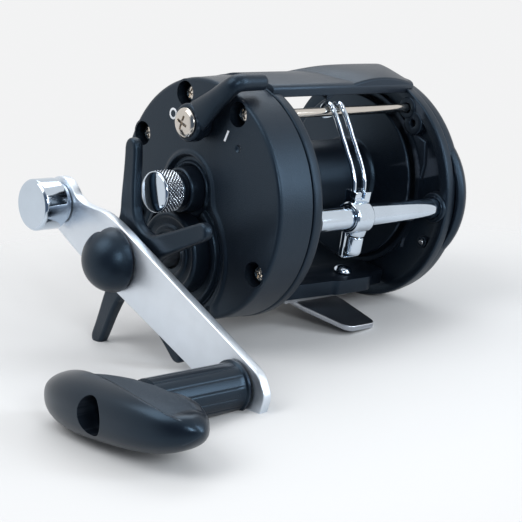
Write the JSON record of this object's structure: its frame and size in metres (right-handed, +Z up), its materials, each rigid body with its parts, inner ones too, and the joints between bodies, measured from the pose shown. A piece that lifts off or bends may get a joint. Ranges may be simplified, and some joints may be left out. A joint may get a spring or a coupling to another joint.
{
  "type": "trolling reel",
  "caption": "Conventional fishing reel with star drag, thumb clutch lever, counterweighted crank, round side plates, a line guide that travels on a front tube, and a foot for a rod's reel seat.",
  "frame": {"origin": "centre of the foot's underside, where it rests in the rod's reel seat", "axes": "+Z up from the foot through the side plates' centre, +X along the spool's axis away from the handle, -Y to the front where the line leaves through the line guide"},
  "size_m": [0.161, 0.1325, 0.0982],
  "materials": {
    "graphite": "satin graphite-black moulded plastic, fine grain",
    "black_rubber": "soft black grip moulding",
    "chrome": "bright cool chrome plating",
    "nickel": "warm nickel plating",
    "steel": "plain turned and stamped steel",
    "brass": "machined brass",
    "aluminium": "satin anodised aluminium",
    "black_paint": "black coated metal with worn bright edges",
    "fibre": "woven fibre friction washer",
    "nylon": "natural nylon"
  },
  "bodies": {
    "reel_body": {"frame": "graphite", "reel_foot": "black_paint", "foot_rivet_1": "chrome", "foot_rivet_2": "chrome", "handle_side_cover": "graphite", "left_side_cover": "graphite", "bridge_plate": "aluminium", "worm_tube": "chrome", "worm_bushing": "brass", "guide_bar": "nickel", "spool_bearing_handle_side": "steel", "spool_bearing_left": "steel", "cast_control_washer": "fibre", "cover_screw_1": "nickel", "cover_screw_2": "nickel", "cover_screw_3": "nickel", "cover_screw_4": "nickel", "cover_screw_5": "nickel", "left_screw_1": "nickel", "left_screw_2": "nickel", "left_screw_3": "nickel"},
    "crank": {"drive_shaft": "steel", "anti_reverse_ratchet": "steel", "inner_drag_washer": "fibre", "main_gear": "brass", "outer_drag_washer": "fibre", "pressure_washer": "steel", "spring_washer": "steel", "spacer_sleeve": "steel", "handle_arm": "aluminium", "handle_nut": "steel", "nut_cover": "graphite", "counterweight": "chrome", "knob_spindle": "steel"},
    "star": {"star_drag": "graphite"},
    "grip": {"knob_sleeve": "black_rubber", "knob_grip": "black_rubber"},
    "spool": {"spool": "graphite", "spool_shaft": "steel", "clicker_wheel": "brass", "spool_gear": "brass"},
    "idler": {"idler_gear": "nylon"},
    "worm": {"worm_shaft": "steel", "worm_gear": "brass"},
    "pinion": {"pinion": "brass"},
    "yoke": {"clutch_yoke": "steel", "yoke_spring_1": "steel", "yoke_spring_2": "steel"},
    "clutch": {"clutch_lever": "graphite", "lever_screw": "nickel", "clutch_cam": "steel"},
    "carriage": {"carriage": "chrome", "pawl_cap": "chrome", "pawl_clip": "chrome", "line_guide": "chrome"},
    "pawl": {"pawl": "brass"},
    "cast_cap": {"cast_control_cap": "chrome"},
    "dog": {"anti_reverse_dog": "brass"},
    "click": {"clicker_button": "black_rubber", "clicker_tongue": "steel"}
  },
  "joints": [
    {"name": "crank_turn", "type": "hinge", "parent": "reel_body", "child": "crank", "pos_m": [-0.05, 0.005, 0.0151], "axis": [-1, 0, 0], "continuous": true},
    {"name": "star_turn", "type": "hinge", "parent": "crank", "child": "star", "pos_m": [-0.062, 0.005, 0.0151], "axis": [-1, 0, 0], "range_deg": [-180, 180]},
    {"name": "grip_spin", "type": "hinge", "parent": "crank", "child": "grip", "pos_m": [-0.1, -0.05612, 0.00065], "axis": [-1, 0, 0], "continuous": true},
    {"name": "spool_spin", "type": "hinge", "parent": "reel_body", "child": "spool", "pos_m": [0, 0.005, 0.0361], "axis": [-1, 0, 0], "continuous": true},
    {"name": "idler_spin", "type": "hinge", "parent": "reel_body", "child": "idler", "pos_m": [0.034, -0.01423, 0.03681], "axis": [-1, 0, 0], "continuous": true},
    {"name": "worm_spin", "type": "hinge", "parent": "reel_body", "child": "worm", "pos_m": [0, -0.03285, 0.0375], "axis": [-1, 0, 0], "continuous": true},
    {"name": "clutch_lever_turn", "type": "hinge", "parent": "reel_body", "child": "clutch", "pos_m": [-0.048, 0.0034, 0.0585], "axis": [-1, 0, 0], "range_deg": [0, 60]},
    {"name": "yoke_slide", "type": "slide", "parent": "reel_body", "child": "yoke", "axis": [-1, 0, 0], "range_m": [0, 0.002]},
    {"name": "pinion_spin", "type": "hinge", "parent": "yoke", "child": "pinion", "pos_m": [-0.04, 0.005, 0.0361], "axis": [-1, 0, 0], "continuous": true},
    {"name": "carriage_slide", "type": "slide", "parent": "reel_body", "child": "carriage", "axis": [1, 0, 0], "range_m": [-0.0134, 0.0272]},
    {"name": "pawl_swivel", "type": "hinge", "parent": "carriage", "child": "pawl", "pos_m": [-0.0069, -0.03285, 0.0305], "axis": [0, 0, 1], "range_deg": [-20, 20]},
    {"name": "cast_cap_turn", "type": "hinge", "parent": "reel_body", "child": "cast_cap", "pos_m": [-0.055, 0.005, 0.0361], "axis": [-1, 0, 0], "range_deg": [-180, 180]},
    {"name": "dog_swing", "type": "hinge", "parent": "reel_body", "child": "dog", "pos_m": [-0.0365, -0.00957, 0.0098], "axis": [-1, 0, 0], "range_deg": [0, 12]},
    {"name": "clicker_slide", "type": "slide", "parent": "reel_body", "child": "click", "axis": [0, -0.5, 0.866], "range_m": [0, 0.0035]}
  ],
  "couplings": [
    {"joint": "spool_spin", "follows": "crank_turn", "ratio": -3},
    {"joint": "pinion_spin", "follows": "crank_turn", "ratio": -3},
    {"joint": "idler_spin", "follows": "crank_turn", "ratio": 0.84},
    {"joint": "worm_spin", "follows": "crank_turn", "ratio": -3.5},
    {"joint": "yoke_slide", "follows": "clutch_lever_turn", "m_per_rad": 0.0019099}
  ]
}
